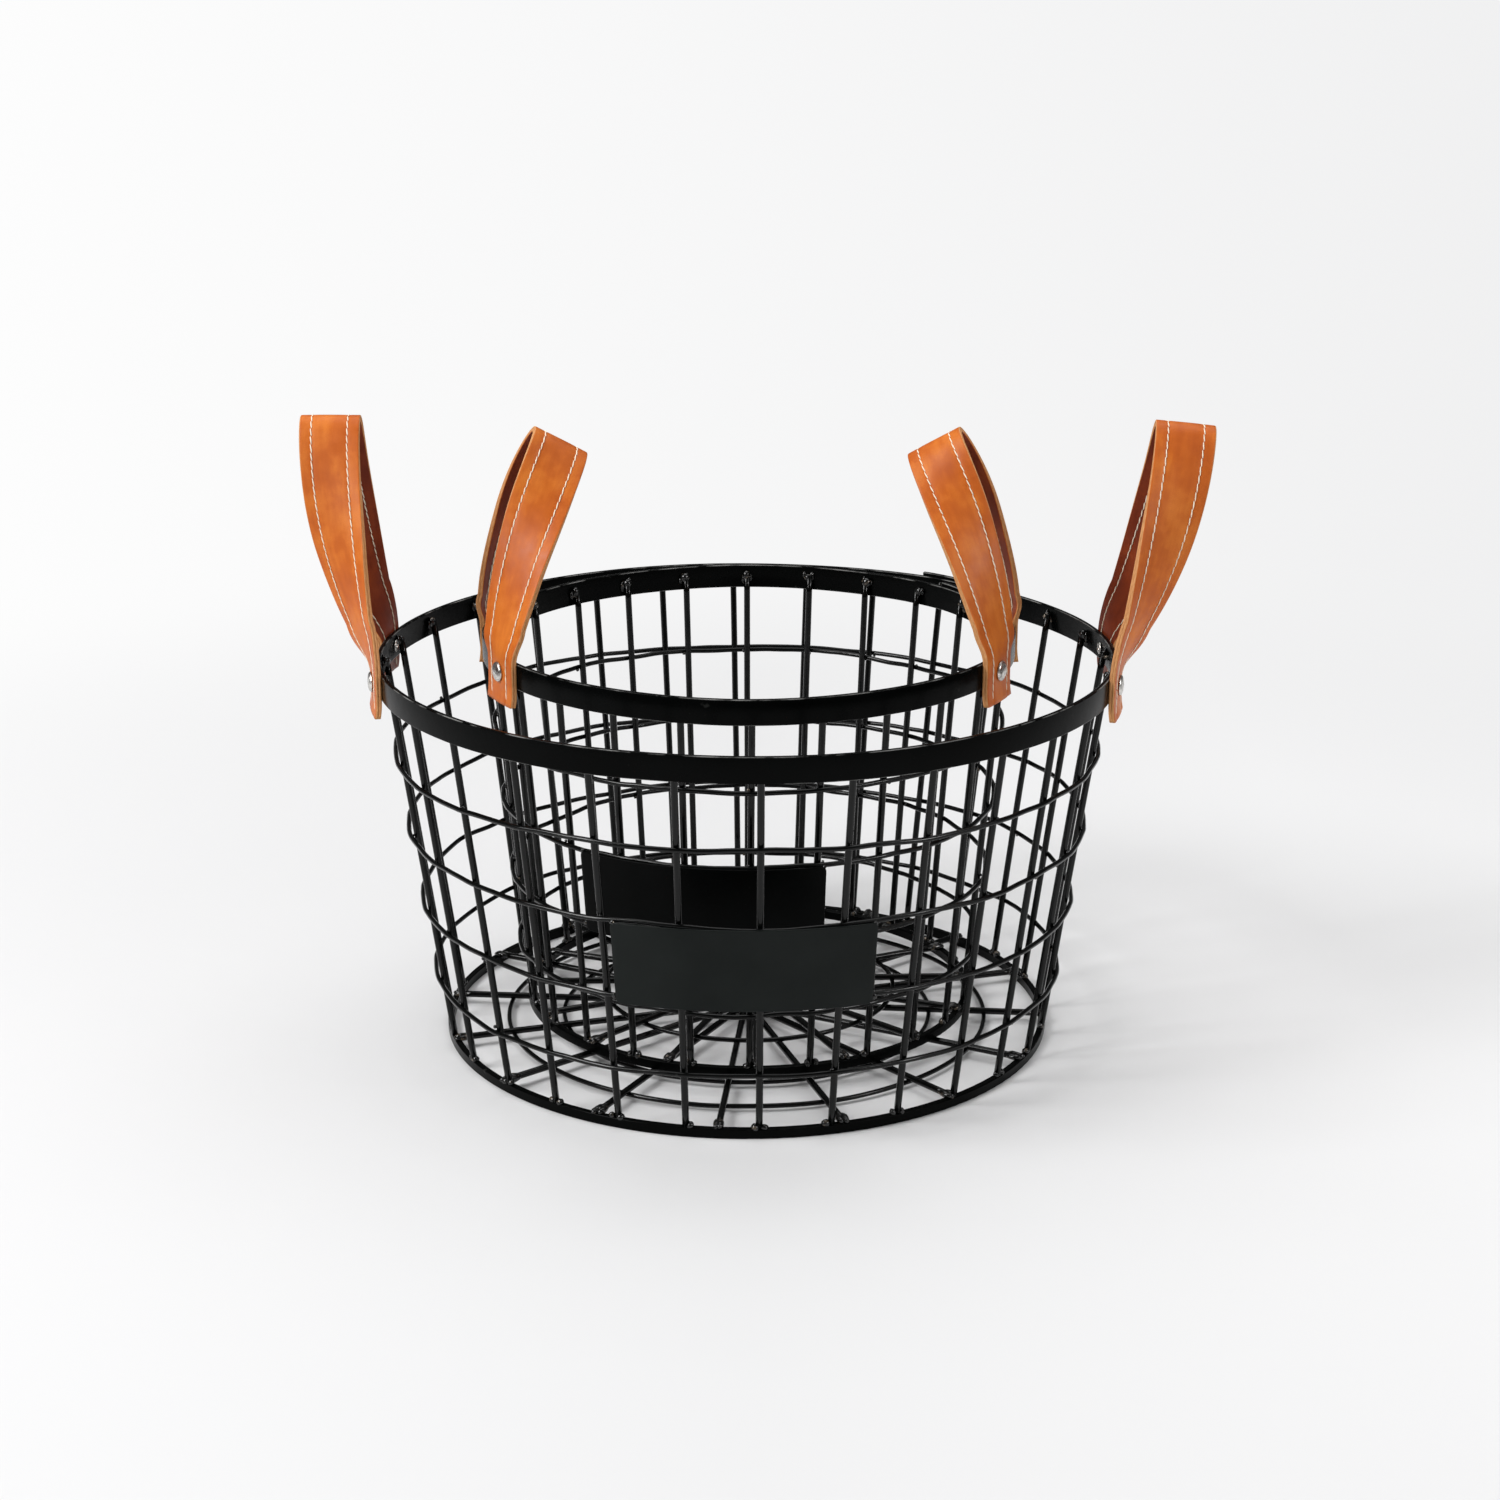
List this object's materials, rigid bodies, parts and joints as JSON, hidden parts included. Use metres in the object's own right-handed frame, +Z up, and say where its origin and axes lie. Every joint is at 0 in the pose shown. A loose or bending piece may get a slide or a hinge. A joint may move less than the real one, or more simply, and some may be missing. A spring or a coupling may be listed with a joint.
{
  "type": "nested wire basket set",
  "caption": "Round wire baskets, one nested in the other, each with a strip rim, ringed upright wires, a spoked base, a blank label plate and looped leather handles held by rivets.",
  "frame": {"origin": "the middle of the large basket's base, level with the underside of its base ring", "axes": "+X towards the right-hand handles, +Y towards the back, +Z up; the label plates face -Y"},
  "size_m": [0.4586, 0.38, 0.3255],
  "materials": {
    "wire_paint": "satin black paint on steel wire",
    "band_paint": "satin black paint on steel strip, worn at the edges",
    "plate_paint": "smooth dark matt paint on sheet steel",
    "strap_leather": "tan leather in two layers with pale stitching",
    "rivet_metal": "polished nickel plate"
  },
  "bodies": {
    "large_basket": {"large_rim_band": "band_paint", "large_upright_wires": "wire_paint", "large_base_ring": "band_paint", "large_base_spokes": "wire_paint", "large_base_hub": "wire_paint", "large_label_plate": "plate_paint", "large_wall_ring_1": "wire_paint", "large_wall_ring_2": "wire_paint", "large_wall_ring_3": "wire_paint", "large_wall_ring_4": "wire_paint", "large_base_hoop_1": "wire_paint", "large_base_hoop_2": "wire_paint", "large_left_handle_front_end": "strap_leather", "large_left_handle_back_end": "strap_leather", "large_left_handle_rivets": "rivet_metal", "large_right_handle_front_end": "strap_leather", "large_right_handle_back_end": "strap_leather", "large_right_handle_rivets": "rivet_metal"},
    "small_basket": {"small_rim_band": "band_paint", "small_upright_wires": "wire_paint", "small_base_ring": "band_paint", "small_base_spokes": "wire_paint", "small_base_hub": "wire_paint", "small_label_plate": "plate_paint", "small_wall_ring_1": "wire_paint", "small_wall_ring_2": "wire_paint", "small_wall_ring_3": "wire_paint", "small_wall_ring_4": "wire_paint", "small_base_hoop_1": "wire_paint", "small_left_handle_front_end": "strap_leather", "small_left_handle_back_end": "strap_leather", "small_left_handle_rivets": "rivet_metal", "small_right_handle_front_end": "strap_leather", "small_right_handle_back_end": "strap_leather", "small_right_handle_rivets": "rivet_metal"},
    "large_left_loop": {"large_left_handle_loop": "strap_leather"},
    "large_right_loop": {"large_right_handle_loop": "strap_leather"},
    "small_left_loop": {"small_left_handle_loop": "strap_leather"},
    "small_right_loop": {"small_right_handle_loop": "strap_leather"}
  },
  "joints": [
    {"name": "small_basket_lift", "type": "slide", "parent": "large_basket", "child": "small_basket", "axis": [0, 0, 1], "range_m": [0, 0.33]},
    {"name": "large_left_handle_bend", "type": "hinge", "parent": "large_basket", "child": "large_left_loop", "pos_m": [-0.18814, -0.00554, 0.205], "axis": [0.0294, -0.9996, 0], "range_deg": [-8, 50], "stiffness_Nm_per_rad": 0.25},
    {"name": "large_right_handle_bend", "type": "hinge", "parent": "large_basket", "child": "large_right_loop", "pos_m": [0.18776, -0.01148, 0.205], "axis": [0.061, 0.9981, 0], "range_deg": [-8, 50], "stiffness_Nm_per_rad": 0.25},
    {"name": "small_left_handle_bend", "type": "hinge", "parent": "small_basket", "child": "small_left_loop", "pos_m": [-0.12976, -0.00474, 0.21265], "axis": [0.1564, -0.9877, 0], "range_deg": [-40, 27], "stiffness_Nm_per_rad": 0.25},
    {"name": "small_right_handle_bend", "type": "hinge", "parent": "small_basket", "child": "small_right_loop", "pos_m": [0.13254, -0.004, 0.21265], "axis": [0.1505, 0.9886, 0], "range_deg": [-40, 27], "stiffness_Nm_per_rad": 0.25}
  ]
}
